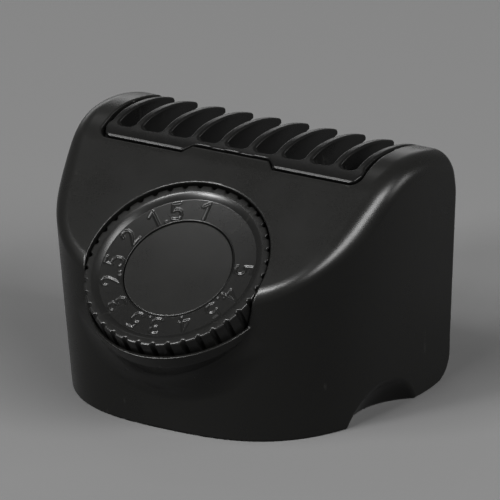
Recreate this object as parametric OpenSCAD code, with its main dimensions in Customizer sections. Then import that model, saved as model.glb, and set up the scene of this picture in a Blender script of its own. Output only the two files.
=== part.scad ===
// Adjustable comb attachment for a hair clipper: a moulded housing that pushes
// onto the clipper's cutting head, a numbered dial in its sloping front face,
// and a ten-tooth comb that the dial moves in and out along the slope.
// Millimetres, +Z up, front towards -Y, base on Z = 0.

/* [Housing] */
// Angle of the front face above the horizontal
slope = 36; // [30:0.5:40]
// Half width of the housing at its base
base_half_w = 22.27; // [22:0.01:23]
// Wall thickness of the side and front walls
wall = 1.7; // [1.4:0.1:1.8]
// Thickness of the sloping top wall
top_wall = 1.8; // [1.6:0.1:1.9]
// Height of the rear wall above the base
rear_wall_h = 16; // [12:0.5:17]

/* [Dial] */
// Radius of the dial
dial_r = 11.95; // [11.5:0.05:12]
// Height of the middle of the dial's face above the base
dial_z = 20.4; // [20:0.1:21]
// Number of detent positions, from the shortest to the longest cut
positions = 9; // [5:1:9]
// Angle between two neighbouring positions
step_angle = 35; // [30:1:35]
// Number of grip notches round the rim
rim_notches = 38; // [24:1:40]

/* [Comb] */
// Distance between two teeth, centre to centre
tooth_pitch = 4; // [3.8:0.05:4]
// Number of teeth
teeth = 10; // [8:1:10]
// Thickness of a tooth
tooth_t = 1.1; // [0.9:0.05:1.3]
// Travel of the comb from the first position to the last
travel = 4; // [2:0.1:4]

/* [Fastenings] */
// Shank radius of the mechanism's screws
screw_r = 0.9; // [0.8:0.05:1]
// Head radius of the mechanism's screws
screw_head_r = 1.6; // [1.4:0.05:1.7]

/* [Hidden] */
$fn = 64;
eps = 0.01;

// The housing's plan is a superellipse, cut off flat at the back. Its half
// width, length and squareness all grow a little with the height h.
plan_back = 30.8;
plan_len = 33.86;
draft_w = 0.033;
draft_len = 0.034;
square_base = 2.88;
square_rise = 0.021;
back_y = 29.9;
shell_h = 34;

// The side profile: the slope runs into a crest arc, and the crest into a
// long shallow arc that falls to the back
face_n = 0.9;
crest_y = 18.6;
crest_r = 12;
crest_z = 11.8;
tail_r = 28;
back_top_r = 2.2;
back_foot_r = 4;

// Dial, pocket and collar, along the dial's axis with its face at 0. The
// dial's rim stands a little proud of its face, and the collar that carries
// it below the slope is trimmed by a plane tilted towards the level
rim_n = 0.55;
rim_edge_r = 0.3;
rim_in_r = 10.9;
face_r = 10.1;
dial_foot = -3.2;
pocket_r = 12.1;
pocket_floor = -3.4;
floor_t = 1.5;
pocket_wall_r = 13.2;
collar_r = 12.5;
collar_flare = 0.05;
collar_top = -1.35;
collar_tilt = 8.6;
collar_bottom = -9.6;
collar_foot_r = 10.95;
hub_r = 3.95;
hub_bore_r = 4;
hub_foot = -5;
key_w = 4.2;
key_foot = -6.2;
cap_r = 7;
cap_seat_r = 7.08;
cap_t = 1.1;
cap_seat = -1.2;
head_seat = -2.4;
head_seat_r = 2.6;
hub_clear_r = 1.1;
notch_r = 0.35;
ring_in_r = 4.6;
ring_out_r = 7.2;
ring_seat = -3.7;

// Cam disc behind the pocket floor, with its spiral groove underneath
cam_r = 9.9;
cam_top = -5.02;
cam_foot = -7;
groove_r0 = 4.7;
groove_half_w = 0.82;
groove_roof = -5.8;
pin_r = 0.75;
pin_top = -5.95;
sweep = step_angle * (positions - 1);

// Detent leaf in the pocket floor
leaf_s = -9.2;
leaf_w = 2.2;
leaf_flat_x = 1.9;
leaf_t = 0.25;
leaf_half_len = 4.6;
leaf_seat = -4.3;
leaf_screw_x = 3.4;
leaf_nose_r = 0.9;
leaf_nose_top = -2.8;
click_w = 1.5;
click_roof = -2.68;

// Comb, slider and guide frame
recess_half_w = 18.4;
comb_half_w = 17.9;
comb_edge = 16.1;
tab_rise = 1.25;
tab_half_w = 5.25;
tab_chamfer = 1.1;
slit = 0.35;
gap_start = 18.3;
tooth_end_y = 29.3;
tongue_top = -1.1;
tongue_foot = -2.3;
tongue_end = 12;
leg_in_x = 10.4;
leg_out_x = 16;
leg_s = 13;
leg_half_s = 1.6;
slider_top = -7.2;
slider_foot = -8.4;
slider_tail_half_w = 4.6;
slider_tail_end = 2.4;
slider_screw_x = 13.2;
frame_top = -8.6;
frame_t = 1.3;
rail_in_x = 16.2;
rail_top = -6.9;
rail_end = 18.4;
frame_low_s = -6.2;
frame_high_s = 10.6;
ledge_in_x = 15;
post_r = 1.9;
posts = [[13.6, 7.4], [12.4, -3.8]];
latch_y = 12;
latch_w = 7;
latch_t = 1.3;
latch_x = 17;
latch_hook = 0.7;
latch_foot = 3.2;

// Finger scoop in the foot of each side wall
scoop_r = 10.45;
scoop_at = [27.9, 12.9, -24.11];
scoop_skin = 1.3;

// The model is drawn with the dial's middle as its origin, then moved so
// that the base is on Z = 0 and the front and back are equally far from Y = 0
front_reach = (dial_r - rim_edge_r) * cos(slope) + (rim_n - rim_edge_r) * sin(slope) + rim_edge_r;
shift_y = (front_reach - back_y) / 2;

// Places its children in the dial's frame: x across, y up the slope, z out
module on_slope() {
    translate([0, shift_y, dial_z]) rotate([slope, 0, 0]) children();
}

// Places its children in the level frame with the dial's middle as origin
module level() {
    translate([0, shift_y, dial_z]) children();
}

function signed_power(v, p) = sign(v) * pow(abs(v), p);

// One closed ring of the plan at height h, drawn in by inset
function plan_ring(h, inset, n = 72) =
    let (w = base_half_w + draft_w * h - inset,
         len = plan_len + draft_len * h - inset,
         e = 2 / (square_base + square_rise * h))
    [for (i = [0:n - 1]) let (a = 180 + 180 * i / (n - 1))
        [w * signed_power(cos(a), e), plan_back + len * signed_power(sin(a), e), h - dial_z]];

// Solid between rings of the plan, from height h0 to h1
module plan_solid(inset, h0, h1, steps = 4) {
    n = 72;
    rings = [for (k = [0:steps]) plan_ring(h0 + (h1 - h0) * k / steps, inset, n)];
    pts = [for (r = rings) each r];
    sides = [for (k = [0:steps - 1], i = [0:n - 1])
        let (a = k * n + i, b = k * n + (i + 1) % n)
        each [[a, b, a + n], [b, b + n, a + n]]];
    foot = [for (i = [n - 1:-1:0]) i];
    head = [for (i = [0:n - 1]) steps * n + i];
    polyhedron(pts, concat([foot], [for (f = sides) [f[2], f[1], f[0]]], [head]), convexity = 4);
}

function arc(c, r, a0, a1, n) =
    [for (i = [0:n]) let (a = a0 + (a1 - a0) * i / n) c + r * [cos(a), sin(a)]];

// Side profile of the housing in [y, z] about the dial's middle
function profile(inset, foot_z) =
    let (c1 = [crest_y, crest_z - crest_r],
         c2 = [crest_y, crest_z - tail_r],
         yb = back_y - inset,
         tail = tail_r - inset,
         rt = back_top_r - inset / 2,
         yc = yb - rt,
         zc = c2[1] + sqrt(pow(tail - rt, 2) - pow(yc - c2[0], 2)),
         a_tail = atan2(zc - c2[1], yc - c2[0]))
    concat([[-60, foot_z], [-60, c1[1] + (crest_r - inset) / cos(slope) - (60 + crest_y) * tan(slope)]],
        arc(c1, crest_r - inset, 90 + slope, 90, 10),
        arc(c2, tail, 90, a_tail, 8),
        arc([yc, zc], rt, a_tail, 0, 6),
        inset > 0 ? [[yb, foot_z]]
                  : arc([yb - back_foot_r, foot_z + back_foot_r], back_foot_r, 0, -90, 8));

module profile_solid(inset, foot_z) {
    rotate([90, 0, 90]) linear_extrude(60, center = true) polygon(profile(inset, foot_z));
}

// Outline of the comb's place in the slope, drawn out by grow
module comb_outline(half_w, grow) {
    lo = comb_edge - grow;
    mid = comb_edge + tab_rise - grow;
    x1 = tab_half_w + grow / 4;
    x2 = x1 + tab_chamfer;
    polygon([[-half_w, 45], [-half_w, lo], [-x2, lo], [-x1, mid],
             [x1, mid], [x2, lo], [half_w, lo], [half_w, 45]]);
}

module tube(r, r_in, z0, z1) {
    translate([0, 0, z0]) difference() {
        cylinder(r = r, h = z1 - z0);
        translate([0, 0, -1]) cylinder(r = r_in, h = z1 - z0 + 2);
    }
}

// Repeats its children at each post of the guide frame, on both sides
module at_posts() {
    for (p = posts, side = [-1, 1]) translate([side * p[0], p[1], 0]) children();
}

module mirrored() {
    children();
    mirror([1, 0, 0]) children();
}

// Hollow inside of the housing, open at the base and over the comb
module cavity() {
    difference() {
        level() intersection() {
            plan_solid(wall, -2, shell_h + 2);
            profile_solid(top_wall, -dial_z - 2);
        }
        on_slope() translate([0, 0, pocket_floor - floor_t]) cylinder(r = pocket_wall_r, h = 20, $fn = 96);
        level() mirrored() translate(scoop_at) sphere(r = scoop_r + scoop_skin);
        on_slope() at_posts() translate([0, 0, frame_top]) cylinder(r = post_r, h = 20, $fn = 32);
    }
}

// Outer skin: the plan and the profile together, and the collar under the dial
module outer_skin() {
    level() intersection() {
        plan_solid(0, 0, shell_h);
        profile_solid(0, -dial_z);
    }
    on_slope() difference() {
        union() {
            translate([0, 0, collar_bottom])
                cylinder(r1 = collar_foot_r, r2 = collar_r, h = pocket_floor - collar_bottom, $fn = 96);
            translate([0, 0, pocket_floor - eps])
                cylinder(r1 = collar_r, r2 = collar_r - collar_flare * pocket_floor, h = -pocket_floor, $fn = 96);
        }
        translate([0, -pocket_r, collar_top]) rotate([-collar_tilt, 0, 0])
            translate([-20, -10, 0]) cube([40, 60, 10]);
    }
}

module housing_shell() {
    color([0.15, 0.15, 0.145]) difference() {
        outer_skin();
        cavity();
        on_slope() {
            translate([0, 0, pocket_floor]) cylinder(r = pocket_r, h = 20, $fn = 96);
            translate([0, 0, -12]) cylinder(r = hub_bore_r, h = 12);
            tube(ring_out_r + 0.1, hub_bore_r + 0.4, ring_seat, 0);
            translate([-leaf_half_len - 0.3, leaf_s - leaf_w / 2 - 0.2, leaf_seat])
                cube([2 * leaf_half_len + 0.6, leaf_w + 0.4, 3]);
            translate([leaf_screw_x, leaf_s, -12]) cylinder(r = screw_r - 0.3, h = 12, $fn = 32);
            translate([0, 0, cam_foot - 0.4]) cylinder(r = cam_r + 0.35, h = pocket_floor - floor_t - cam_foot + 0.4);
            translate([0, 0, -3.2]) linear_extrude(30) comb_outline(recess_half_w, slit);
            at_posts() translate([0, 0, frame_top - 1]) cylinder(r = screw_r - 0.1, h = 4.5, $fn = 32);
        }
        level() {
            mirrored() translate(scoop_at) sphere(r = scoop_r);
            translate([-recess_half_w, back_y - 14, rear_wall_h - dial_z]) cube([2 * recess_half_w, 20, 40]);
        }
    }
}

// Inner frame: a plate under the slider, two rails and two latch tongues
module guide_frame() {
    foot = frame_top - frame_t;
    color([0.2, 0.2, 0.19]) difference() {
        intersection() {
            union() {
                on_slope() {
                    translate([-22, frame_low_s, foot]) cube([44, frame_high_s - frame_low_s, frame_t]);
                    mirrored() {
                        translate([rail_in_x, frame_high_s - 1, foot])
                            cube([6, rail_end - frame_high_s + 1, rail_top - foot]);
                        translate([ledge_in_x, frame_high_s - 1, foot])
                            cube([4, rail_end - frame_high_s + 1, frame_t]);
                    }
                }
                mirrored() difference() {
                    level() translate([latch_x - latch_t, latch_y - latch_w / 2, latch_foot - dial_z]) {
                        cube([latch_t, latch_w, 18]);
                        translate([-latch_hook, 0, 0]) cube([latch_t, latch_w, 1.4]);
                    }
                    on_slope() translate([0, -20, frame_top - 0.3]) cube([40, 60, 30]);
                }
            }
            level() intersection() {
                plan_solid(wall + 0.35, -2, shell_h);
                profile_solid(top_wall + 0.4, -dial_z - 2);
            }
        }
        on_slope() {
            at_posts() translate([0, 0, foot - 1]) cylinder(r = screw_r + 0.15, h = frame_t + 2, $fn = 32);
        }
    }
}

// Four screws that hold the guide frame to the housing's posts
module frame_screws() {
    color([0.7, 0.7, 0.7]) on_slope() at_posts() screw(frame_top - frame_t, 4);
}

// Pan-head screw whose head sits under the level z, with its shank upwards
module screw(z, grip, head_h = 0.9, shank_r = screw_r - 0.1, head_r = screw_head_r) {
    difference() {
        translate([0, 0, z - head_h]) cylinder(r = head_r, h = head_h, $fn = 32);
        translate([0, 0, z - head_h - eps]) cross(head_r);
    }
    translate([0, 0, z - eps]) cylinder(r = shank_r, h = grip + eps, $fn = 32);
}

// Cross recess for a screw's head
module cross(head_r) {
    for (a = [0, 90]) rotate([0, 0, a]) translate([-head_r * 0.6, -0.16, 0]) cube([head_r * 1.2, 0.32, 0.45]);
}

// Spring leaf in the pocket floor, with a round nose under the dial
module detent_spring() {
    top = leaf_seat + leaf_t;
    nose_z = leaf_nose_top - leaf_nose_r;
    color([0.75, 0.75, 0.77]) on_slope() translate([0, leaf_s, 0]) {
        difference() {
            translate([leaf_flat_x, -leaf_w / 2, leaf_seat + 0.02]) cube([leaf_half_len - leaf_flat_x, leaf_w, leaf_t]);
            translate([leaf_screw_x, 0, leaf_seat - 1]) cylinder(r = screw_r - 0.2, h = 3, $fn = 32);
        }
        rotate([90, 0, 0]) linear_extrude(leaf_w, center = true) union() {
            polygon([[leaf_flat_x + eps, leaf_seat + 0.02], [leaf_flat_x + eps, top],
                     [leaf_nose_r - leaf_t, nose_z + 0.2], [leaf_nose_r - leaf_t, nose_z - 0.05], [leaf_nose_r, nose_z - 0.05]]);
            difference() {
                translate([0, nose_z]) circle(r = leaf_nose_r, $fn = 40);
                translate([0, nose_z]) circle(r = leaf_nose_r - leaf_t, $fn = 40);
                translate([-3, nose_z - 3]) square([6, 3]);
            }
        }
    }
}

module detent_screw() {
    z = leaf_seat + leaf_t + 0.02;
    color([0.7, 0.7, 0.7]) on_slope() translate([leaf_screw_x, leaf_s, 0])
        mirror([0, 0, 1]) screw(-z, 0.85, 0.5, screw_r - 0.3, 1.05);
}

// Dial: raised grip rim, numbered face, hub through the pocket floor and a
// square key into the cam disc
module dial() {
    r = dial_r - rim_edge_r;
    edge = [for (i = [0:6]) let (a = 15 * i) [r + rim_edge_r * cos(a), rim_n - rim_edge_r + rim_edge_r * sin(a)]];
    color([0.15, 0.15, 0.145]) on_slope() difference() {
        union() {
            rotate_extrude($fn = 144) polygon(concat(
                [[0, dial_foot], [dial_r, dial_foot]], edge,
                [[rim_in_r, rim_n], [rim_in_r - 0.3, rim_n - 0.12], [face_r + 0.25, 0.1], [face_r, 0], [0, 0]]));
            translate([0, 0, hub_foot]) cylinder(r = hub_r, h = dial_foot - hub_foot + eps);
            translate([-key_w / 2, -key_w / 2, key_foot]) cube([key_w, key_w, hub_foot - key_foot + eps]);
        }
        translate([0, 0, cap_seat]) cylinder(r = cap_seat_r, h = 5, $fn = 96);
        translate([0, 0, head_seat]) cylinder(r = head_seat_r, h = 5);
        translate([0, 0, -12]) cylinder(r = hub_clear_r, h = 12);
        for (i = [0:rim_notches - 1]) rotate([0, 0, (i + 0.5) * 360 / rim_notches])
            translate([dial_r, 0, dial_foot - 1]) cylinder(r = notch_r, h = 6, $fn = 24);
        for (k = [0:positions - 1]) rotate([0, 0, k * step_angle - 90])
            translate([-leaf_s - 1.3, -click_w / 2, dial_foot - 1]) cube([2.6, click_w, click_roof - dial_foot + 1]);
    }
}

// Plain disc that closes the middle of the dial over its screw
module dial_cap() {
    color([0.17, 0.17, 0.165]) on_slope() {
        translate([0, 0, -cap_t]) cylinder(r = cap_r, h = cap_t, $fn = 96);
    }
}

module dial_screw() {
    color([0.7, 0.7, 0.7]) on_slope() mirror([0, 0, 1]) screw(-head_seat, 4.4, 0.95, screw_r, 2.1);
}

// Felt ring between the dial and the pocket floor, which makes it turn firmly
module friction_ring() {
    color([0.1, 0.1, 0.1]) on_slope() tube(ring_out_r, ring_in_r, ring_seat + 0.02, dial_foot - 0.02);
}

// Radius of the cam's groove where the dial has turned by a
function groove_r(a) = groove_r0 + travel * a / sweep;

// Spiral groove: one outline out along the large side and back along the small
module groove_outline() {
    n = 48;
    lead = 14;
    outer = [for (i = [0:n]) let (a = -lead + (sweep + 2 * lead) * i / n, r = groove_r(a) + groove_half_w)
        r * [cos(90 + a), sin(90 + a)]];
    inner = [for (i = [n:-1:0]) let (a = -lead + (sweep + 2 * lead) * i / n, r = groove_r(a) - groove_half_w)
        r * [cos(90 + a), sin(90 + a)]];
    polygon(concat(outer, inner));
}

// Cam disc on the dial's key, with the spiral groove in its underside
module cam_disc() {
    color([0.85, 0.84, 0.8]) on_slope() difference() {
        translate([0, 0, cam_foot]) cylinder(r = cam_r, h = cam_top - cam_foot, $fn = 96);
        translate([-key_w / 2 - 0.03, -key_w / 2 - 0.03, key_foot - 0.05]) cube([key_w + 0.06, key_w + 0.06, 5]);
        translate([0, 0, cam_foot - 1]) cylinder(r = screw_r, h = 5, $fn = 48);
        translate([0, 0, cam_foot - 1]) linear_extrude(groove_roof - cam_foot + 1) groove_outline();
    }
}

// Outline of one tooth in [y, z]: the housing's own curve on top, a deep root
// and an underside that rises to a thin tip
function tooth_outline(end_y) =
    let (c1 = [crest_y, crest_z - crest_r],
         c2 = [crest_y, crest_z - tail_r],
         r2 = tail_r - 0.05,
         r1 = crest_r - 0.05,
         a_end = acos((end_y - c2[0]) / r2),
         s0 = comb_edge + tab_rise + 0.2 - c1 * [cos(slope), sin(slope)],
         a_lo = slope + acos(s0 / r1),
         lo = c1 + r1 * [cos(a_lo), sin(a_lo)],
         tip = c2 + r2 * [cos(a_end), sin(a_end)])
    concat(arc(c1, r1, a_lo, 91, 10), arc(c2, r2, 90, a_end, 6),
        [tip + [0, -0.25], tip + [-1.2, -0.6], [25, 7.9], [21.5, 7.3],
         [17.6, 7.2], [lo[0] + 1.4, lo[1] - 2.7]]);

// Toothed insert that slides in the slope: web, teeth, a tongue that covers
// the slot behind it, and two legs down to the slider
module comb() {
    color([0.15, 0.15, 0.145]) difference() {
        union() {
            for (i = [0:teeth - 1]) level()
                translate([(i - (teeth - 1) / 2) * tooth_pitch - tooth_t / 2 + edge_nudge(i), 0, 0])
                rotate([90, 0, 90]) linear_extrude(tooth_t) polygon(tooth_outline(tooth_end_y));
            intersection() {
                on_slope() translate([0, 0, -1.6]) linear_extrude(4) intersection() {
                    comb_outline(comb_half_w, 0);
                    translate([-30, 0]) square([60, gap_start]);
                }
                level() profile_solid(0.05, -dial_z);
            }
            on_slope() {
                difference() {
                    translate([0, 0, tongue_foot]) linear_extrude(tongue_top - tongue_foot)
                        translate([-comb_half_w + 0.9, tongue_end])
                        square([2 * (comb_half_w - 0.9), gap_start - 0.6 - tongue_end]);
                    translate([0, 0, -10]) cylinder(r = pocket_wall_r + 0.2, h = 12, $fn = 96);
                }
                mirrored() translate([leg_in_x, leg_s - leg_half_s, slider_top])
                    cube([leg_out_x - leg_in_x, 2 * leg_half_s, tongue_foot - slider_top + eps]);
            }
        }
        on_slope() mirrored() translate([slider_screw_x, leg_s, slider_top - 1])
            cylinder(r = screw_r - 0.1, h = 4, $fn = 32);
    }
}

// The two end teeth lie just inside the comb's side faces
function edge_nudge(i) = i == 0 ? -(comb_half_w - (teeth - 1) / 2 * tooth_pitch - tooth_t / 2)
    : i == teeth - 1 ? comb_half_w - (teeth - 1) / 2 * tooth_pitch - tooth_t / 2 : 0;

// Slider under the cam: a tail with the follower pin and a cross bar
module comb_slider() {
    bar_half = leg_half_s + 0.3;
    color([0.85, 0.84, 0.8]) on_slope() difference() {
        translate([0, 0, slider_foot]) linear_extrude(slider_top - slider_foot) union() {
            translate([-rail_in_x + 0.12, leg_s - bar_half]) square([2 * rail_in_x - 0.24, 2 * bar_half]);
            translate([-slider_tail_half_w, slider_tail_end])
                square([2 * slider_tail_half_w, leg_s - slider_tail_end]);
        }
        translate([0, groove_r0, slider_foot - 1]) cylinder(r = pin_r, h = 4, $fn = 32);
        mirrored() translate([slider_screw_x, leg_s, slider_foot]) {
            translate([0, 0, -1]) cylinder(r = screw_r, h = 4, $fn = 32);
            translate([0, 0, -1]) cylinder(r = screw_head_r + 0.1, h = 1.75, $fn = 32);
        }
    }
}

module follower_pin() {
    color([0.75, 0.75, 0.77]) on_slope() translate([0, groove_r0, slider_foot])
        cylinder(r = pin_r, h = pin_top - slider_foot, $fn = 32);
}

module slider_screws() {
    color([0.7, 0.7, 0.7]) on_slope() mirrored() translate([slider_screw_x, leg_s, 0])
        screw(slider_foot + 0.75, 3.2, 0.7);
}

housing_shell();
guide_frame();
frame_screws();
detent_spring();
detent_screw();
dial();
dial_cap();
dial_screw();
friction_ring();
cam_disc();
comb();
comb_slider();
follower_pin();
slider_screws();
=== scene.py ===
# Adjustable comb attachment of a hair clipper, standing on its base: a moulded
# casing, a numbered dial with a plain cap, the toothed comb it drives, and the
# guide frame, slider, cam, detent and screws inside. Metres, Z up.
import math

import bmesh
import bpy
import numpy as np
from mathutils import Matrix, Vector


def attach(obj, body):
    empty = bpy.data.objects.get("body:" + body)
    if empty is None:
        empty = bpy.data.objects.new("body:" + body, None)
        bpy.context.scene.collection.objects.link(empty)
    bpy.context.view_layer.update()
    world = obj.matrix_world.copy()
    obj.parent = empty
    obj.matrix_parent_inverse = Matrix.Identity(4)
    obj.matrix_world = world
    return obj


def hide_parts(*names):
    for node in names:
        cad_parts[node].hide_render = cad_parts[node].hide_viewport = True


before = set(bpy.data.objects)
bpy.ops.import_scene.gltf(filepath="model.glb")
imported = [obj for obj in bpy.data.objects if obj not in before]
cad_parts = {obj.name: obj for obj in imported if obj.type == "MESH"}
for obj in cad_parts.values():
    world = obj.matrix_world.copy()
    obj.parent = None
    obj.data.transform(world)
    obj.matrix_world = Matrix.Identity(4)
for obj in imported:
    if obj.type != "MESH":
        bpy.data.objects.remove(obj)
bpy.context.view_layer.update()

# ---------------------------------------------------------------------------
# Stand and light. The attachment stands on a plain table under soft studio
# lamps, in an even grey room; a long lens looks down at it from the front and
# a little to the right.
scene = bpy.context.scene


def table_top():
    half = 6.0
    mesh = bpy.data.meshes.new("table_top")
    corners = [(-half, -half, 0), (half, -half, 0), (half, half, 0), (-half, half, 0)]
    mesh.from_pydata(corners, [], [(0, 1, 2, 3)])
    top = bpy.data.objects.new("table_top", mesh)
    scene.collection.objects.link(top)
    paint = bpy.data.materials.new("pale_table")
    paint.use_nodes = True
    shader = paint.node_tree.nodes["Principled BSDF"]
    shader.inputs["Base Color"].default_value = (0.09, 0.09, 0.09, 1)
    shader.inputs["Roughness"].default_value = 0.9
    shader.inputs["Specular IOR Level"].default_value = 0.1
    mesh.materials.append(paint)


table_top()

AIM = Vector((0.01016, -0.010014, 0.02462))
TOWARDS_CAMERA = Vector((0.45304, -0.81384, 0.36390))
camera = bpy.data.cameras.new("camera")
camera.sensor_width = 36
camera.lens = 591.2
camera.clip_end = 20
viewpoint = bpy.data.objects.new("camera", camera)
viewpoint.location = AIM + TOWARDS_CAMERA * 1.0
viewpoint.rotation_euler = (-TOWARDS_CAMERA).to_track_quat("-Z", "Y").to_euler()
scene.collection.objects.link(viewpoint)
scene.camera = viewpoint

LAMP_DISTANCE = 2.4
LIT_POINT = Vector((0, 0, 0.016))


def soft_lamp(name, direction, width, height, power):
    """A soft box of that size and power in watts, facing the attachment."""
    lamp = bpy.data.lights.new(name, "AREA")
    lamp.shape = "RECTANGLE"
    lamp.size, lamp.size_y = width, height
    lamp.energy = power
    holder = bpy.data.objects.new(name, lamp)
    aim = Vector(direction).normalized()
    holder.location = LIT_POINT + aim * LAMP_DISTANCE
    holder.rotation_euler = aim.to_track_quat("Z", "Y").to_euler()
    scene.collection.objects.link(holder)


# the long right lamp draws the light line down the slope's right edge, the
# front ones light the bevels, and the low back one the comb's blades
soft_lamp("right_lamp", (0.69, -0.22, 0.61), 2.0, 0.80, 130.0)
soft_lamp("front_lamp", (-0.16, -0.68, 0.71), 0.90, 0.36, 75.0)
soft_lamp("front_left_lamp", (-0.45, -0.78, 0.42), 0.50, 0.50, 80.0)
soft_lamp("overhead_lamp", (-0.45, -0.46, 0.77), 0.50, 0.36, 30.0)
soft_lamp("back_left_lamp", (-0.60, 0.78, 0.16), 1.60, 0.50, 5.0)
soft_lamp("high_back_lamp", (-0.45, 0.42, 0.79), 0.50, 0.24, 2.0)
soft_lamp("right_back_lamp", (0.80, 0.52, 0.30), 1.00, 0.60, 20.0)

world = bpy.data.worlds.new("studio_air")
world.use_nodes = True
air = world.node_tree.nodes["Background"]
air.inputs["Color"].default_value = (0.5, 0.5, 0.5, 1)
air.inputs["Strength"].default_value = 0.5
scene.world = world
scene.view_settings.view_transform = "Standard"
scene.view_settings.gamma = 0.8

# ---------------------------------------------------------------------------
# Casing: one black injection moulding with a fine spark-eroded grain. Its plan
# is a squarish oval cut off flat behind, its face slopes back at 36 degrees,
# and a collar grows out under the dial. Shapes below are in millimetres about
# the middle of the dial's face: x to the right, y to the back, z up, s up the
# slope and n out of it.
SLOPE = math.radians(36)
DIAL_HEIGHT = 20.4
BACK = 29.9
RIM_RADIUS, RIM_RISE, RIM_EDGE = 11.95, 0.55, 0.3
FRONT = (
    (RIM_RADIUS - RIM_EDGE) * math.cos(SLOPE) + (RIM_RISE - RIM_EDGE) * math.sin(SLOPE) + RIM_EDGE
)
SHIFT = (FRONT - BACK) / 2


def up_slope(y, z):
    """Distances up the slope and out of it, for level y and z."""
    c, s = math.cos(SLOPE), math.sin(SLOPE)
    return y * c + z * s, z * c - y * s


def both(a, b, r):
    """Where two solids overlap, with the edge between them rounded by r."""
    u, v = np.maximum(a + r, 0), np.maximum(b + r, 0)
    return np.minimum(np.maximum(a, b), -r) + np.hypot(u, v)


def joined(a, b, r):
    """Two solids together, with a fillet of radius r in the corner."""
    u, v = np.maximum(r - a, 0), np.maximum(r - b, 0)
    return np.maximum(np.minimum(a, b), r) - np.hypot(u, v)


def ease(v, v0, v1):
    """A soft step that is 0 up to v0 and 1 from v1."""
    t = np.clip((v - v0) / (v1 - v0), 0, 1)
    return t * t * (3 - 2 * t)


HALF_WIDTH, WIDTH_LEAN = 22.27, 0.033
DEPTH, DEPTH_LEAN = 33.86, 0.034
SQUARENESS, SQUARENESS_RISE = 2.88, 0.021
WIDEST = 30.8


def side_wall(x, y, z, inset):
    """The upright wall: a squarish oval in plan that leans out a little."""
    h = z + DIAL_HEIGHT
    w, depth = HALF_WIDTH + WIDTH_LEAN * h - inset, DEPTH + DEPTH_LEAN * h - inset
    p = SQUARENESS + SQUARENESS_RISE * h
    u, v = np.abs(x) / w, np.maximum(WIDEST - y, 0) / depth
    size = np.maximum(u**p + v**p, 1e-9) ** (1 / p)
    steep = np.hypot((u / size) ** (p - 1) / w, (v / size) ** (p - 1) / depth)
    return (size - 1) / np.maximum(steep, 1e-4)


CREST, CREST_RADIUS, TAIL_RADIUS = (18.6, -0.2), 12.0, 28.0


def top_curve(y, z, inset):
    """The slope, the crest it runs into, and the long fall to the back."""
    s, n = up_slope(y, z)
    crest_y, crest_z = CREST
    s0, n0 = up_slope(crest_y, crest_z)
    crest = np.hypot(y - crest_y, z - crest_z) - CREST_RADIUS
    tail = np.hypot(y - crest_y, z - (crest_z + CREST_RADIUS - TAIL_RADIUS)) - TAIL_RADIUS
    return np.where(y > crest_y, tail, np.where(s > s0, crest, n - n0 - CREST_RADIUS)) + inset


TAB_FOOT, TAB_RISE, TAB_BEVEL, MIDDLE_HALF_WIDTH = 16.1, 1.25, 1.1, 5.25


def comb_place(x, s, half_width, grow, corner):
    """The comb's place in the slope: two tabs with a raised middle between."""
    low = TAB_FOOT - grow
    reach = MIDDLE_HALF_WIDTH + grow / 4 + TAB_BEVEL
    tabs = both(low - s, np.abs(x) - half_width, corner)
    lean = TAB_BEVEL / TAB_RISE
    flank = (np.abs(x) - reach + (s - low) * lean) / math.hypot(1, lean)
    return np.maximum(tabs, -np.maximum(s - low - TAB_RISE, flank))


POCKET_RADIUS, POCKET_FLOOR, MOULD_EDGE = 12.1, -3.4, 0.15
COLLAR_RADIUS, COLLAR_TOP, COLLAR_FOOT = 12.5, -1.35, -9.6
COLLAR_FLARE, COLLAR_FOOT_FLARE, COLLAR_TILT = 0.05, 0.25, math.radians(8.6)


def outer_skin(x, y, z, s, n, r):
    """The closed outside, with its edge widening up the slope."""
    top = top_curve(y, z, 0)
    shell = both(side_wall(x, y, z, 0), top, 1.1 + 1.6 * ease(s, 0, 12))
    rear = both(y - BACK, -DIAL_HEIGHT - z, 4.0)
    rear_edge = MOULD_EDGE + 0.7 * ease(z + DIAL_HEIGHT, 0, 5) + 1.35 * ease(top, -5, -1)
    shell = both(shell, rear, rear_edge)
    # collar under the dial, its rim trimmed a little nearer the level
    past_floor = n - POCKET_FLOOR
    taper = (r - COLLAR_RADIUS - COLLAR_FOOT_FLARE * past_floor) / math.hypot(1, COLLAR_FOOT_FLARE)
    cone = np.maximum(r - COLLAR_RADIUS - COLLAR_FLARE * past_floor, taper)
    trim = (n - COLLAR_TOP) * math.cos(COLLAR_TILT) + (s + POCKET_RADIUS) * math.sin(COLLAR_TILT)
    collar = both(both(cone, trim, 0.14), COLLAR_FOOT - n, 1.0)
    shell = joined(shell, collar, 0.15 + 2.6 * ease(n, -2.6, -6.0))
    return both(shell, -DIAL_HEIGHT - z, MOULD_EDGE)


SIDE_THICKNESS, TOP_THICKNESS = 1.7, 1.8
CUP_RADIUS, CUP_FLOOR = 13.2, -4.9
POSTS, POST_RADIUS, POST_END = ((15.6, 7.4), (12.4, -3.8)), 1.9, -8.6
SCOOP_AT, SCOOP_RADIUS, SCOOP_BACK = (27.9, 12.9, -24.11), 10.45, 11.75


def inner_hollow(x, y, z, s, n, r, scoop, posts):
    """The hollow, with pocket floor, posts and the scoops' backs left in it."""
    hollow = both(side_wall(x, y, z, SIDE_THICKNESS), top_curve(y, z, TOP_THICKNESS), 0.8)
    hollow = np.maximum(hollow, y - BACK + TOP_THICKNESS)
    kept = np.minimum(np.maximum(r - CUP_RADIUS, CUP_FLOOR - n), scoop - SCOOP_BACK)
    kept = np.minimum(kept, np.maximum(posts - POST_RADIUS, POST_END - n))
    return both(hollow, -kept, 0.3)


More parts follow.
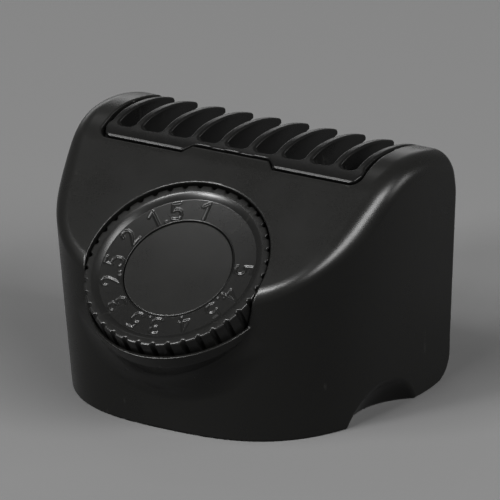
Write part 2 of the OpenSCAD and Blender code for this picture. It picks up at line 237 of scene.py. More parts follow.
HUB_BORE, CAM_ROOM_RADIUS, CAM_LEVEL = 4.0, 10.25, -6.15
FELT_RADIUS, FELT_BED = 5.85, -3.7
LEAF_RADIUS, LEAF_HALF_LENGTH, LEAF_BED = 9.2, 4.9, -4.3
SCREW_RADIUS, SCREW_TOP = 0.8, -5.1


def dial_seats(x, s, n, r, posts):
    """Hub bore, felt ring's groove, leaf's bed, cam's room and screw holes."""
    bore = r - HUB_BORE
    ring_groove = np.maximum(np.abs(r - FELT_RADIUS) - 1.45, FELT_BED - n)
    leaf_bed = np.maximum(np.abs(x) - LEAF_HALF_LENGTH, np.abs(s + LEAF_RADIUS) - 1.3)
    leaf_bed = np.maximum(leaf_bed, LEAF_BED - n)
    cam_room = np.maximum(r - CAM_ROOM_RADIUS, np.abs(n - CAM_LEVEL) - 1.25)
    screw_holes = np.maximum(posts - SCREW_RADIUS, n - SCREW_TOP)
    seats = np.minimum(np.minimum(bore, ring_groove), leaf_bed)
    seats = np.minimum(np.minimum(seats, cam_room), screw_holes)
    return np.maximum(seats, n + 1.0)


RECESS_HALF_WIDTH, RECESS_FLOOR, SLIT = 18.4, -3.2, 0.35
WINDOW_START, WINDOW_SILL = 15.9, 4.4 - 8.8


def casing_shape(x, y, z):
    s, n = up_slope(y, z)
    r = np.hypot(x, s)
    across, along, down = SCOOP_AT
    scoop = np.sqrt((np.abs(x) - across) ** 2 + (y - along) ** 2 + (z - down) ** 2)
    posts = np.minimum(*(np.hypot(np.abs(x) - px, s - ps) for px, ps in POSTS))
    shell = outer_skin(x, y, z, s, n, r)
    shell = both(shell, -inner_hollow(x, y, z, s, n, r, scoop, posts), MOULD_EDGE)
    shell = both(shell, -np.maximum(r - POCKET_RADIUS, POCKET_FLOOR - n), 0.16)
    shell = np.maximum(shell, -dial_seats(x, s, n, r, posts))
    # place of the comb, open to the back, and the finger scoops
    recess = np.maximum(comb_place(x, s, RECESS_HALF_WIDTH, SLIT, 1.5), RECESS_FLOOR - n)
    shell = both(shell, -recess, 0.25)
    window = np.maximum(np.abs(x) - RECESS_HALF_WIDTH, WINDOW_START - y)
    window = np.maximum(window, WINDOW_SILL - z)
    shell = both(shell, -window, MOULD_EDGE)
    return both(shell, SCOOP_RADIUS - scoop, 0.3)


def slopes(shape, p, step):
    """How fast shape grows along x, y and z at the points p."""
    ahead = [(shape(*(p + d).T) - shape(*(p - d).T)) / (2 * step) for d in np.eye(3) * step]
    return np.stack(ahead, 1)


def unit(v):
    return v / np.maximum(np.linalg.norm(v, axis=1, keepdims=True), 1e-9)


def sampled(shape, low, high, cell):
    """shape on a grid of cells, worked out in full only near the surface."""
    block = 6
    counts = [int(math.ceil((b - a) / cell / block)) for a, b in zip(low, high)]
    axes = [a + cell * np.arange(c * block) for a, c in zip(low, counts)]
    middles = [a + cell * (block * np.arange(c) + (block - 1) / 2) for a, c in zip(low, counts)]
    rough = shape(*np.meshgrid(*middles, indexing="ij", sparse=False))
    field = np.repeat(np.repeat(np.repeat(rough, block, 0), block, 1), block, 2).astype(np.float32)
    near = np.argwhere(np.abs(rough) < cell * block * 1.6)
    steps = np.stack(np.meshgrid(*[np.arange(block)] * 3, indexing="ij"), -1).reshape(-1, 3)
    blocks_at_once = 2500
    for part in np.array_split(near, max(1, len(near) // blocks_at_once)):
        at = (part[:, None, :] * block + steps[None]).reshape(-1, 3)
        field[tuple(at.T)] = shape(*[axes[k][at[:, k]] for k in range(3)])
    return field


def crossed_cells(field):
    """The cells that the surface runs through, and their numbers in the grid."""
    inside = field < 0
    a, b, c = (length - 1 for length in inside.shape)
    corner_sum = sum(
        inside[i : i + a, j : j + b, k : k + c].astype(np.uint8)
        for i in (0, 1)
        for j in (0, 1)
        for k in (0, 1)
    )
    cells = np.argwhere((corner_sum > 0) & (corner_sum < 8))
    number = np.full(corner_sum.shape, -1, np.int32)
    number[tuple(cells.T)] = np.arange(len(cells))
    return cells, number


def crossing_faces(field, number, low, cell):
    """One face round each grid edge that the surface cuts, and the cut."""
    inside = field < 0
    quads, cuts = [], []
    for axis in range(3):
        a = np.moveaxis(inside, axis, 0)
        at = np.argwhere(np.moveaxis(a[:-1] != a[1:], 0, axis))
        others = [k for k in range(3) if k != axis]
        reach = np.array(number.shape)[others]
        at = at[(at[:, others] > 0).all(1) & (at[:, others] < reach).all(1)]
        e, f, g = (np.eye(3, dtype=int)[k] for k in (*others, axis))
        ring = np.stack([number[tuple((at - o).T)] for o in (e + f, f, 0 * e, e)], 1)
        out = inside[tuple(at.T)] ^ (axis == 1)
        ring[~out] = ring[~out][:, ::-1]
        quads.append(ring)
        va, vb = field[tuple(at.T)], field[tuple((at + g).T)]
        cuts.append(np.array(low) + cell * (at + (va / (va - vb))[:, None] * g))
    return np.concatenate(quads), np.concatenate(cuts)


def corner_points(facing, cuts, quads, count, cell):
    """Each cell's point, where the flat faces through its cuts meet."""
    cell_of, source = quads.ravel(), np.repeat(np.arange(len(quads)), 4)
    n, p = facing[source], cuts[source]

    def gather(values):
        return np.bincount(cell_of, values, minlength=count)

    share = np.bincount(cell_of, minlength=count).astype(float)
    mean = np.stack([gather(p[:, k]) for k in range(3)], 1) / share[:, None]
    across = (n * (p - mean[cell_of])).sum(1)
    left = np.array([[gather(n[:, i] * n[:, j]) for j in range(3)] for i in range(3)])
    left = left.transpose(2, 0, 1)
    left += 0.04 * share[:, None, None] * np.eye(3)
    right = np.stack([gather(n[:, k] * across) for k in range(3)], 1)
    step = np.linalg.solve(left, right[..., None])[..., 0]
    return mean + np.clip(step, -0.7 * cell, 0.7 * cell)


def thinned(name, points, quads, share):
    """Object with those faces, flat stretches thinned to that share of them."""
    mesh = bpy.data.meshes.new(name)
    mesh.vertices.add(len(points))
    mesh.vertices.foreach_set("co", points.astype(np.float32).ravel())
    mesh.loops.add(quads.size)
    mesh.loops.foreach_set("vertex_index", quads.astype(np.int32).ravel())
    mesh.polygons.add(len(quads))
    mesh.polygons.foreach_set("loop_start", np.arange(0, quads.size, 4, dtype=np.int32))
    mesh.update(calc_edges=True)
    piece = bpy.data.objects.new(name, mesh)
    scene.collection.objects.link(piece)
    thin = piece.modifiers.new("thin", "DECIMATE")
    thin.ratio = share
    view = bpy.context.evaluated_depsgraph_get()
    lighter = bpy.data.meshes.new_from_object(piece.evaluated_get(view))
    piece.modifiers.clear()
    piece.data = lighter
    bpy.data.meshes.remove(mesh)
    lighter.name = name
    return piece


def mould(name, shape, low, high, cell, share, tilt=0.0):
    """Solid where shape is below zero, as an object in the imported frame.

    Shading follows the shape itself, and creases stay crisp.
    """
    field = sampled(shape, low, high, cell)
    cells, number = crossed_cells(field)
    quads, cuts = crossing_faces(field, number, low, cell)
    facing = unit(slopes(shape, cuts, cell / 20))
    points = corner_points(facing, cuts, quads, len(cells), cell)
    piece = thinned(name, points, quads, share)
    mesh = piece.data
    flat = np.empty(len(mesh.vertices) * 3, np.float32)
    mesh.vertices.foreach_get("co", flat)
    points = flat.reshape(-1, 3).astype(float)
    corner = np.empty(len(mesh.loops), np.int32)
    mesh.loops.foreach_get("vertex_index", corner)
    sizes = np.empty(len(mesh.polygons), np.int32)
    starts = np.empty(len(mesh.polygons), np.int32)
    mesh.polygons.foreach_get("loop_total", sizes)
    mesh.polygons.foreach_get("loop_start", starts)
    middles = np.add.reduceat(points[corner], starts) / sizes[:, None]
    own = unit(slopes(shape, points, cell / 6))[corner]
    inward = 0.75 * points[corner] + 0.25 * np.repeat(middles, sizes, 0)
    near_face = unit(slopes(shape, inward, cell / 20))
    creased = (own * near_face).sum(1, keepdims=True) < 0.9
    normals = np.where(creased, near_face, own)
    c, s = math.cos(tilt), math.sin(tilt)
    turn = np.array([[1, 0, 0], [0, c, s], [0, -s, c]])
    placed = (points @ turn + np.array([0, SHIFT, DIAL_HEIGHT])) / 1000
    mesh.vertices.foreach_set("co", placed.astype(np.float32).ravel())
    mesh.polygons.foreach_set("use_smooth", np.ones(len(mesh.polygons), bool))
    mesh.update()
    mesh.normals_split_custom_set((normals @ turn).tolist())
    return piece


casing = mould("casing", casing_shape, (-24, -13.5, -21), (24, 30.6, 12.6), 0.2, 0.35)


def feed(tree, socket, value):
    """Sets a socket to a number, or links it to another node's output."""
    if isinstance(value, (int, float)):
        socket.default_value = value
    else:
        tree.links.new(value, socket)


def new_group(name, inputs, outputs):
    """Empty shader group with inputs (name, value) and outputs (name, type)."""
    group = bpy.data.node_groups.new(name, "ShaderNodeTree")
    for label, value in inputs:
        kind = "NodeSocketColor" if isinstance(value, tuple) else "NodeSocketFloat"
        socket = group.interface.new_socket(label, in_out="INPUT", socket_type=kind)
        socket.default_value = value
    for label, kind in outputs:
        group.interface.new_socket(label, in_out="OUTPUT", socket_type=kind)
    return group, group.nodes.new("NodeGroupInput").outputs, group.nodes.new("NodeGroupOutput")


def object_place(tree):
    return tree.nodes.new("ShaderNodeTexCoord").outputs["Object"]


def noise(tree, coords, scale, detail, rough=0.5):
    node = tree.nodes.new("ShaderNodeTexNoise")
    feed(tree, node.inputs["Scale"], scale)
    node.inputs["Detail"].default_value = detail
    node.inputs["Roughness"].default_value = rough
    tree.links.new(coords, node.inputs["Vector"])
    return node.outputs["Fac"]


def math_node(tree, kind, a, b):
    node = tree.nodes.new("ShaderNodeMath")
    node.operation = kind
    for socket, value in zip(node.inputs, (a, b)):
        feed(tree, socket, value)
    return node.outputs[0]


def product(tree, a, b):
    return math_node(tree, "MULTIPLY", a, b)


def span(tree, value, from_low, from_high, to_low, to_high):
    """value moved from one range of numbers to another, kept inside it."""
    node = tree.nodes.new("ShaderNodeMapRange")
    parts = (value, from_low, from_high, to_low, to_high)
    for label, part in zip(("Value", "From Min", "From Max", "To Min", "To Max"), parts):
        feed(tree, node.inputs[label], part)
    return node.outputs["Result"]


def colour_mix(tree, factor, first, second):
    """The first colour where factor is 0 and the second where it is 1."""
    node = tree.nodes.new("ShaderNodeMix")
    node.data_type = "RGBA"
    tree.links.new(factor, node.inputs["Factor"])
    for socket, colour in zip((node.inputs[6], node.inputs[7]), (first, second)):
        if isinstance(colour, tuple):
            socket.default_value = colour
        else:
            tree.links.new(colour, socket)
    return node.outputs[2]


def relief(tree, height, strength, distance):
    """Normal of a surface that height raises by up to distance in metres."""
    node = tree.nodes.new("ShaderNodeBump")
    node.inputs["Distance"].default_value = distance
    feed(tree, node.inputs["Strength"], strength)
    tree.links.new(height, node.inputs["Height"])
    return node.outputs["Normal"]


# Spark-eroded mould grain: fine pits pressed into the plastic, a slow waviness
# from shrinkage, and a gloss that comes and goes with both.
def spark_grain_group():
    group, given, result = new_group(
        "spark_grain",
        (("Pits per metre", 6500.0), ("Depth", 1.0), ("Gloss low", 0.36), ("Gloss high", 0.5)),
        (("Normal", "NodeSocketVector"), ("Roughness", "NodeSocketFloat")),
    )
    place = object_place(group)
    pits = noise(group, place, given["Pits per metre"], 2.0)
    waves = noise(group, place, 160.0, 2.0)
    height = math_node(group, "ADD", pits, product(group, waves, 1.5))
    normal = relief(group, height, product(group, given["Depth"], 0.3), 0.00002)
    mixed = math_node(group, "ADD", product(group, pits, 0.5), product(group, waves, 0.5))
    gloss = span(group, mixed, 0.35, 0.65, given["Gloss low"], given["Gloss high"])
    group.links.new(normal, result.inputs["Normal"])
    group.links.new(gloss, result.inputs["Roughness"])
    return group


# Handling: edges that fingers rub turn smoother and a touch paler, and a thin
# film of dust settles on faces that look upwards.
def handling_group():
    group, given, result = new_group(
        "handling",
        (
            ("Colour", (0.02, 0.02, 0.02, 1.0)),
            ("Worn colour", (0.05, 0.05, 0.048, 1.0)),
            ("Dust colour", (0.2, 0.19, 0.18, 1.0)),
            ("Wear", 0.5),
            ("Dust", 0.04),
            ("Roughness", 0.42),
        ),
        (("Colour", "NodeSocketColor"), ("Roughness", "NodeSocketFloat")),
    )
    geometry = group.nodes.new("ShaderNodeNewGeometry")
    place = object_place(group)
    patches = span(group, noise(group, place, 420.0, 4.0, 0.6), 0.42, 0.66, 0.0, 1.0)
    sharp = span(group, geometry.outputs["Pointiness"], 0.56, 0.64, 0.0, 1.0)
    worn = product(group, product(group, sharp, patches), given["Wear"])
    split = group.nodes.new("ShaderNodeSeparateXYZ")
    group.links.new(geometry.outputs["Normal"], split.inputs[0])
    upward = span(group, split.outputs["Z"], 0.2, 1.0, 0.0, 1.0)
    specks = span(group, noise(group, place, 2600.0, 3.0, 0.7), 0.5, 0.72, 0.15, 1.0)
    dusty = product(group, product(group, upward, specks), given["Dust"])
    paler = colour_mix(group, worn, given["Colour"], given["Worn colour"])
    dusted = colour_mix(group, dusty, paler, given["Dust colour"])
    smoother = math_node(group, "SUBTRACT", given["Roughness"], product(group, worn, 0.12))
    rough = math_node(group, "ADD", smoother, product(group, dusty, 0.5))
    group.links.new(dusted, result.inputs["Colour"])
    group.links.new(rough, result.inputs["Roughness"])
    return group


SPARK_GRAIN, HANDLING = spark_grain_group(), handling_group()


def new_paint(name):
    """Material with one Principled shader, its node tree, and the shader."""
    paint = bpy.data.materials.new(name)
    paint.use_nodes = True
    tree = paint.node_tree
    return paint, tree, tree.nodes["Principled BSDF"]


def group_node(tree, group, settings):
    """The group in this tree, with its inputs set by name."""
    node = tree.nodes.new("ShaderNodeGroup")
    node.node_tree = group
    for label, value in settings.items():
        node.inputs[label].default_value = (*value, 1) if isinstance(value, tuple) else value
    return node


RUBBED = (0.02, 0.02, 0.019)


def black_plastic(name, colour, gloss, pits, depth, worn=RUBBED, wear=0.5, dust=0.012, sheen=0.25):
    """Moulded black plastic: grain and handling in front of one shader."""
    paint, tree, shader = new_paint(name)
    low, high = gloss
    grain_look = {"Pits per metre": pits, "Depth": depth, "Gloss low": low, "Gloss high": high}
    touch_look = {"Colour": colour, "Worn colour": worn, "Wear": wear, "Dust": dust}
    grain = group_node(tree, SPARK_GRAIN, grain_look)
    touch = group_node(tree, HANDLING, touch_look)
    tree.links.new(grain.outputs["Roughness"], touch.inputs["Roughness"])
    tree.links.new(grain.outputs["Normal"], shader.inputs["Normal"])
    tree.links.new(touch.outputs["Colour"], shader.inputs["Base Color"])
    tree.links.new(touch.outputs["Roughness"], shader.inputs["Roughness"])
    shader.inputs["Specular IOR Level"].default_value = sheen
    return paint


casing_plastic = black_plastic("casing_plastic", (0.0055, 0.0055, 0.0052), (0.26, 0.34), 6500, 1.0)
casing.data.materials.append(casing_plastic)
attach(casing, "housing")
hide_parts("housing_shell")

# ---------------------------------------------------------------------------
# Comb: ten blades on a web, moulded in one with the tongue that covers the slot
# behind it and the two legs that the slider is screwed to. Its two tabs have
# a small bevel along their lower edges.
TOOTH_PITCH, TOOTH_THICKNESS, TOOTH_TAPER = 4.0, 1.1, 0.1
LAST_INNER_TOOTH, END_TOOTH = 14, 17.35
TOOTH_START, TOOTH_END, TOOTH_DEPTH = 17.6, 29.3, 4.6
WEB_HALF_WIDTH, WEB_TOP, WEB_BACK = 17.9, 18.2, -1.6
BEVEL_DROP = math.radians(28)
TONGUE_HALF_WIDTH, TONGUE_CLEARANCE = 17.0, 13.4
LEG_AT, LEG_HALF_WIDTH = 13.2, 2.8


def blades(x, y, s, top):
    """The ten upright blades, tapering in width and depth to the back."""
    pitch = TOOTH_PITCH
    middle = np.clip((np.floor(x / pitch) + 0.5) * pitch, -LAST_INNER_TOOTH, LAST_INNER_TOOTH)
    thin = 0.5 * TOOTH_THICKNESS - TOOTH_TAPER * ease(y, 20, 29)
    blade = np.minimum(np.abs(x - middle), np.abs(np.abs(x) - END_TOOTH)) - thin
    depth = np.minimum(0.6 + 0.5 * (TOOTH_END - y), TOOTH_DEPTH)
    blade = both(blade, -top - depth, 0.2)
    blade = both(blade, y - TOOTH_END, 0.3)
    return np.maximum(blade, TOOTH_START - s)


def comb_shape(x, y, z):
    s, n = up_slope(y, z)
    top = top_curve(y, z, 0.05)
    outline = comb_place(x, s, WEB_HALF_WIDTH, 0.0, 1.1)
    web = np.maximum(np.maximum(outline, s - WEB_TOP), WEB_BACK - n)
    whole = both(joined(blades(x, y, s, top), web, 0.75), top, 0.32)
    # bevel along the lower edges of the two tabs
    tab = ease(np.abs(x), 6.2, 6.7)
    cut = (TAB_FOOT - s) * math.sin(BEVEL_DROP) + top * math.cos(BEVEL_DROP) + (0.03 + 0.12 * tab)
    whole = np.maximum(whole, np.where(np.abs(x) < 5.6, -1.0, cut))
    # tongue under the tabs, cut round to clear the collar, and the legs
    tongue = np.maximum(np.abs(s - 14.85) - 2.85, np.abs(n + 1.7) - 0.6)
    tongue = np.maximum(np.abs(x) - TONGUE_HALF_WIDTH, tongue)
    tongue = np.maximum(tongue, TONGUE_CLEARANCE - np.hypot(x, s))
    legs = np.maximum(np.abs(s - 13) - 1.6, np.abs(n + 4.7) - 2.5)
    legs = np.maximum(np.abs(np.abs(x) - LEG_AT) - LEG_HALF_WIDTH, legs)
    return np.minimum(whole, joined(tongue, legs, 0.3))


comb = mould("comb_insert", comb_shape, (-18.2, 8.2, 0.4), (18.3, 29.8, 12.4), 0.13, 0.45)
comb_plastic = black_plastic(
    "comb_plastic", (0.004, 0.004, 0.0039), (0.26, 0.34), 9000, 0.4, sheen=0.15
)
comb.data.materials.append(comb_plastic)
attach(comb, "comb")
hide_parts("comb")

# ---------------------------------------------------------------------------
# Dial: a black moulded wheel that turns in the casing's pocket, with a raised
# notched rim for the fingertip, engraved lengths in millimetres on its sunken
# face, and a hub and square key underneath.
DEGREES_PER_LENGTH, LENGTHS = 35, 9
NUMBER_RADIUS, NUMBER_HEIGHT = 8.65, 2.25
DIGIT_WIDTH, POINT_WIDTH, GAP = 0.62, 0.3, 0.2
STROKES = {
    "1": [[(0.05, 0.74), (0.36, 1), (0.36, 0)]],
    "2": [
        [(0.02, 0.76), (0.08, 0.92), (0.22, 1), (0.4, 0.98), (0.52, 0.86), (0.52, 0.68)]
        + [(0.4, 0.47), (0.02, 0), (0.56, 0)]
    ],
    "3": [
        [(0.02, 0.93), (0.16, 1), (0.36, 1), (0.5, 0.88), (0.5, 0.68), (0.38, 0.55), (0.2, 0.53)],
        [(0.38, 0.55), (0.54, 0.4), (0.54, 0.18), (0.4, 0.02), (0.16, 0), (0, 0.08)],
    ],
    "4": [[(0.42, 0), (0.42, 1), (0, 0.3), (0.6, 0.3)]],
    "5": [
        [(0.5, 1), (0.1, 1), (0.05, 0.54), (0.2, 0.62), (0.38, 0.6), (0.53, 0.45)]
        + [(0.53, 0.2), (0.4, 0.03), (0.18, 0), (0, 0.08)]
    ],
    ".": [[(0.05, 0.02), (0.06, 0.02)]],
}


def number_lines():
    """Ends of every engraved stroke, on the dial's face, in millimetres."""
    lines = []
    for step in range(LENGTHS):
        text = "%g" % (1 + step / 2)
        widths = [POINT_WIDTH if c == "." else DIGIT_WIDTH for c in text]
        at = -(sum(widths) + GAP * (len(text) - 1)) / 2
        for letter, width in zip(text, widths):
            aside = (at + width / 2) * NUMBER_HEIGHT / NUMBER_RADIUS
            angle = math.radians(90 + DEGREES_PER_LENGTH * step) - aside
            out = np.array([math.cos(angle), math.sin(angle)])
            along = np.array([out[1], -out[0]])
            for stroke in STROKES[letter]:
                spots = [
                    out * (NUMBER_RADIUS + (v - 0.5) * NUMBER_HEIGHT)
                    + along * ((u - width / 2 + 0.02) * NUMBER_HEIGHT)
                    for u, v in stroke
                ]
                lines += list(zip(spots[:-1], spots[1:]))
            at += width + GAP
    return lines


NUMBER_LINES = number_lines()
FAR_AWAY = 9.0


def engraved(x, s):
    """How far each point is from the nearest engraved stroke."""
    away = np.full(x.shape, FAR_AWAY)
    for a, b in NUMBER_LINES:
        d = b - a
        t = np.clip(((x - a[0]) * d[0] + (s - a[1]) * d[1]) / max(float(d @ d), 1e-9), 0, 1)
        away = np.minimum(away, np.hypot(x - a[0] - t * d[0], s - a[1] - t * d[1]))
    return away


DISH, FACE_START, STEP_START, STEP_END = 0.5, 7.2, 10.1, 11.0
DIAL_FOOT = -3.2


def dial_rings():
    """Radius and height of each ring, over the dial and back underneath."""
    edge, r0, n0 = RIM_EDGE, RIM_RADIUS - RIM_EDGE, RIM_RISE - RIM_EDGE
    # screw's seat and cap's recess, then the dished face and the step to the rim
    rings = [(1.1, -2.4), (2.6, -2.4), (2.6, -1.2), (7.08, -1.2), (7.08, -0.3)]
    for a in np.linspace(0, math.pi / 2, 5):
        rings.append((FACE_START - 0.12 * math.cos(a), -0.24 + 0.12 * math.sin(a)))
    for r in np.linspace(7.26, STEP_START, 52):
        rings.append((r, DISH * ((r / STEP_START) ** 2 - 1)))
    for t in np.linspace(0.04, 1, 18):
        rings.append((STEP_START + t * (STEP_END - STEP_START), RIM_RISE * (1 - (1 - t) ** 1.35)))
    rings.append((r0 - 0.1, RIM_RISE))
    # rim's rounded edge, its side, the underside and the hub
    for a in np.linspace(math.pi / 2, 0, 7):
        rings.append((r0 + edge * math.cos(a), n0 + edge * math.sin(a)))
    rings += [(RIM_RADIUS, n) for n in np.linspace(0, -2.4, 7)]
    rings += [(RIM_RADIUS, -3.0), (RIM_RADIUS - 0.2, DIAL_FOOT)]
    rings += [(r, DIAL_FOOT) for r in (10.52, 10.5, 7.9, 7.88, 4.2)]
    rings += [(3.95, -3.4), (3.95, -4.8), (3.75, -5.0), (1.1, -5.0)]
    return np.array(rings)


RIM_NOTCHES, NOTCH_DEPTH, NOTCH_HALF_WIDTH = 38, 0.34, 0.40


def rim_notches(angle):
    """How deep the notches cut into the rim at each angle."""
    turn = 2 * math.pi / RIM_NOTCHES
    off = (angle / turn - np.floor(angle / turn) - 0.5) * turn * RIM_RADIUS
    return NOTCH_DEPTH * np.clip(1 - (np.abs(off) / NOTCH_HALF_WIDTH) ** 2.4, 0, 1)


CLICK_HALF_LENGTH, CLICK_HALF_WIDTH, CLICK_DEPTH = 1.31, 0.75, 0.52
FIRST_CLICK, CLICKS_START, CLICKS_REACH = (math.radians(a) for a in (-90, -90.5, 283))


def click_notches(angle):
    """Depth of the nine notches underneath, for the spring leaf's nose."""
    half = math.radians(DEGREES_PER_LENGTH / 2)
    click = (angle - FIRST_CLICK + half) % math.radians(DEGREES_PER_LENGTH) - half
    reached = (angle - CLICKS_START) % (2 * math.pi) < CLICKS_REACH
    cut = (np.abs(click) * LEAF_RADIUS < CLICK_HALF_WIDTH) & reached
    return np.where(cut, CLICK_DEPTH, 0)


STROKE, STROKE_DEPTH = 0.3, 0.075


def dial_surface():
    """Points and four-sided faces of the wheel, turned from its rings."""
    around = 24 * RIM_NOTCHES
    rings = dial_rings()
    radius, height = rings.T
    angle = 2 * math.pi * np.arange(around) / around
    r, n = rings[:, :1] + 0 * angle, rings[:, 1:] + 0 * angle
    order = np.arange(len(rings))[:, None]
    first, last = np.argmax(radius > STEP_END), np.argmax(height == DIAL_FOOT) + 1
    r = r - np.where((order >= first) & (order < last), rim_notches(angle), 0)
    x, s = r * np.cos(angle), r * np.sin(angle)
    faced = (radius > FACE_START) & (radius < STEP_START + 0.3) & (height > -0.3)
    near = np.clip(engraved(x[faced], s[faced]) / STROKE, 0, 1)
    n[faced] -= STROKE_DEPTH * (1 + np.cos(math.pi * near))
    under = (np.abs(radius - LEAF_RADIUS) < CLICK_HALF_LENGTH) & (height == DIAL_FOOT)
    n[under] += click_notches(angle)
    c, t = math.cos(SLOPE), math.sin(SLOPE)
    points = np.stack([x, s * c - n * t + SHIFT, s * t + n * c + DIAL_HEIGHT], -1)
    row, col = np.arange(len(rings))[:, None] * around, np.arange(around)
    follow, beside = np.roll(row, -1, 0), (col + 1) % around
    faces = np.stack([row + col, row + beside, follow + beside, follow + col], -1)
    return points.reshape(-1, 3) / 1000, faces[:, :, ::-1].reshape(-1, 4)


def square_key(form):
    """The bevelled square key under the dial, in metres."""
    face = Matrix.Translation((0, SHIFT / 1000, DIAL_HEIGHT / 1000))
    block = Matrix.Translation((0, 0, -0.0054)) @ Matrix.Diagonal((0.0042, 0.0042, 0.0016, 1))
    bmesh.ops.create_cube(form, size=1, matrix=face @ Matrix.Rotation(SLOPE, 4, "X") @ block)
    bmesh.ops.bevel(form, geom=form.edges[:], offset=0.0002, segments=2, affect="EDGES")


def dial_mesh():
    form = bmesh.new()
    square_key(form)
    points, faces = dial_surface()
    mesh = bpy.data.meshes.new("number_dial")
    mesh.from_pydata(points.tolist(), [], faces.tolist())
    form.from_mesh(mesh)
    form.to_mesh(mesh)
    form.free()
    mesh.polygons.foreach_set("use_smooth", np.ones(len(mesh.polygons), bool))
    mesh.set_sharp_from_angle(angle=math.radians(40))
    wheel = bpy.data.objects.new("number_dial", mesh)
    scene.collection.objects.link(wheel)
    return wheel


dial = dial_mesh()
dial_plastic = black_plastic("dial_plastic", (0.006, 0.006, 0.0058), (0.26, 0.33), 7500, 0.6)
dial.data.materials.append(dial_plastic)
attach(dial, "dial")
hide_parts("dial")

# ---------------------------------------------------------------------------
# Dial cap: a plain black disc pressed into the middle of the dial, over the
# screw that holds the dial and the cam together.
CAP_RADIUS, CAP_FOOT = 7.0, -1.1


def cap_shape(x, s, n):
    r = np.hypot(x, s)
    top = n + DISH * (1 - (r / STEP_START) ** 2)
    return both(both(r - CAP_RADIUS, top, 0.12), CAP_FOOT - n, 0.2)


cap = mould("dial_cap_disc", cap_shape, (-7.3, -7.3, -1.4), (7.4, 7.4, 0.3), 0.12, 0.3, SLOPE)
cap_plastic = black_plastic("cap_plastic", (0.008, 0.008, 0.0077), (0.27, 0.34), 8500, 0.5)
cap.data.materials.append(cap_plastic)
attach(cap, "dial")
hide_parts("dial_cap")

# ---------------------------------------------------------------------------
# Guide frame: the plain black moulding screwed up inside the casing, with the
# rails that the slider runs between and the two tongues that hold the clipper.
def finish_with(node, paint):
    """Gives a piece that keeps its own shape its material in every slot."""
    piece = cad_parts[node]
    if not piece.material_slots:
        piece.data.materials.append(None)
    for place in piece.material_slots:
        place.link = "OBJECT"
        place.material = paint


frame_plastic = black_plastic(
    "frame_plastic",
    (0.012, 0.012, 0.0118),
    (0.30, 0.42),
    5200,
    0.8,
    worn=(0.04, 0.04, 0.039),
    wear=0.7,
    dust=0.03,
)
finish_with("guide_frame", frame_plastic)


# ---------------------------------------------------------------------------
# Cam disc and comb slider: natural acetal, smooth from the mould and left
# unpainted so that they slide on each other. The cam sits on the dial's
# square key; the slider carries the comb's legs and runs in the guide frame.
COLOUR_NORMAL_ROUGHNESS = (
    ("Colour", "NodeSocketColor"),
    ("Normal", "NodeSocketVector"),
    ("Roughness", "NodeSocketFloat"),
)


def milky_cloud_group():
    group, given, result = new_group(
        "milky_cloud",
        (
            ("Clear", (0.62, 0.60, 0.54, 1.0)),
            ("Cloudy", (0.76, 0.74, 0.68, 1.0)),
            ("Rub lines", 1.0),
        ),
        COLOUR_NORMAL_ROUGHNESS,
    )
    place = object_place(group)
    cloud = span(group, noise(group, place, 240.0, 4.0, 0.55), 0.35, 0.65, 0.0, 1.0)
    rubs = noise(group, place, 5200.0, 3.0, 0.65)
    colour = colour_mix(group, cloud, given["Clear"], given["Cloudy"])
    normal = relief(group, rubs, product(group, given["Rub lines"], 0.35), 0.00001)
    group.links.new(colour, result.inputs["Colour"])
    group.links.new(normal, result.inputs["Normal"])
    group.links.new(span(group, rubs, 0.3, 0.7, 0.28, 0.46), result.inputs["Roughness"])
    return group


MILKY_CLOUD = milky_cloud_group()


def surfaced(name, group, settings):
    """Material whose colour, roughness and normal come from one group."""
    paint, tree, shader = new_paint(name)
    look = group_node(tree, group, settings)
    tree.links.new(look.outputs["Colour"], shader.inputs["Base Color"])
    tree.links.new(look.outputs["Roughness"], shader.inputs["Roughness"])
    tree.links.new(look.outputs["Normal"], shader.inputs["Normal"])
    return paint, shader


def acetal(name, clear, cloudy, rubs):
    look = {"Clear": clear, "Cloudy": cloudy, "Rub lines": rubs}
    paint, shader = surfaced(name, MILKY_CLOUD, look)
    shader.inputs["Subsurface Weight"].default_value = 0.15
    shader.inputs["Subsurface Scale"].default_value = 0.0006
    return paint


finish_with("cam_disc", acetal("cam_acetal", (0.62, 0.60, 0.54), (0.75, 0.73, 0.67), 1.0))
finish_with("comb_slider", acetal("slider_acetal", (0.60, 0.58, 0.52), (0.72, 0.70, 0.64), 1.4))


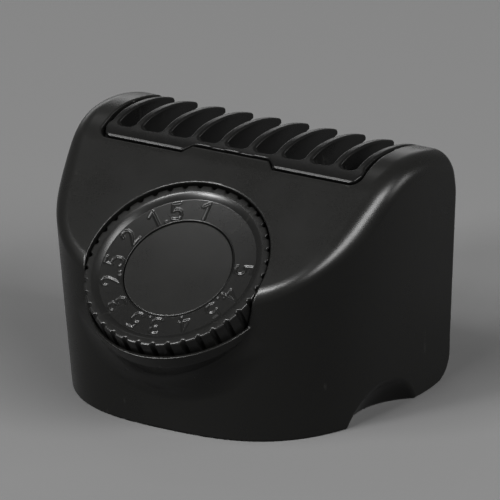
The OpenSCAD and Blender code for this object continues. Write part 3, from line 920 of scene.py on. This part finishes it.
# ---------------------------------------------------------------------------
# Screws, pin and spring leaf: small zinc-plated screws hold the frame, the
# leaf, the slider and the dial; the pin and the leaf are hard bright steel.
def turned_metal_group():
    group, given, result = new_group(
        "turned_metal",
        (
            ("Bright", (0.66, 0.66, 0.67, 1.0)),
            ("Dull", (0.42, 0.42, 0.40, 1.0)),
            ("Spots", 0.5),
            ("Tool marks", 1.0),
        ),
        COLOUR_NORMAL_ROUGHNESS,
    )
    place = object_place(group)
    spots = span(group, noise(group, place, 1500.0, 4.0, 0.6), 0.45, 0.7, 0.0, 1.0)
    tarnish = product(group, spots, given["Spots"])
    marks = noise(group, place, 9000.0, 2.0, 0.7)
    colour = colour_mix(group, tarnish, given["Bright"], given["Dull"])
    normal = relief(group, marks, product(group, given["Tool marks"], 0.3), 0.00001)
    group.links.new(colour, result.inputs["Colour"])
    group.links.new(normal, result.inputs["Normal"])
    group.links.new(span(group, tarnish, 0.0, 1.0, 0.24, 0.5), result.inputs["Roughness"])
    return group


TURNED_METAL = turned_metal_group()


def bright_metal(name, bright, dull, spots, marks):
    look = {"Bright": bright, "Dull": dull, "Spots": spots, "Tool marks": marks}
    paint, shader = surfaced(name, TURNED_METAL, look)
    shader.inputs["Metallic"].default_value = 1.0
    return paint


zinc = bright_metal("zinc_plate", (0.60, 0.61, 0.63), (0.40, 0.40, 0.38), 0.6, 1.0)
for screws in ("frame_screws", "detent_screw", "dial_screw", "slider_screws"):
    finish_with(screws, zinc)
leaf_steel = bright_metal("spring_steel", (0.66, 0.66, 0.66), (0.50, 0.50, 0.48), 0.3, 1.4)
finish_with("detent_spring", leaf_steel)
pin_steel = bright_metal("hardened_pin", (0.70, 0.70, 0.71), (0.55, 0.55, 0.54), 0.2, 0.5)
finish_with("follower_pin", pin_steel)


# ---------------------------------------------------------------------------
# Friction ring: a ring of dense black felt stuck in the pocket's groove, which
# steadies the dial and keeps cut hair out of the hub.
def felt():
    paint, tree, shader = new_paint("ring_felt")
    place = object_place(tree)
    fibres = noise(tree, place, 7000.0, 5.0, 0.75)
    tufts = noise(tree, place, 900.0, 3.0, 0.6)
    fluff = span(tree, product(tree, fibres, tufts), 0.12, 0.4, 0.0, 1.0)
    colour = colour_mix(tree, fluff, (0.012, 0.012, 0.012, 1), (0.05, 0.05, 0.05, 1))
    tree.links.new(colour, shader.inputs["Base Color"])
    tree.links.new(relief(tree, fibres, 0.8, 0.00006), shader.inputs["Normal"])
    shader.inputs["Roughness"].default_value = 0.95
    shader.inputs["Sheen Weight"].default_value = 0.3
    return paint


finish_with("friction_ring", felt())
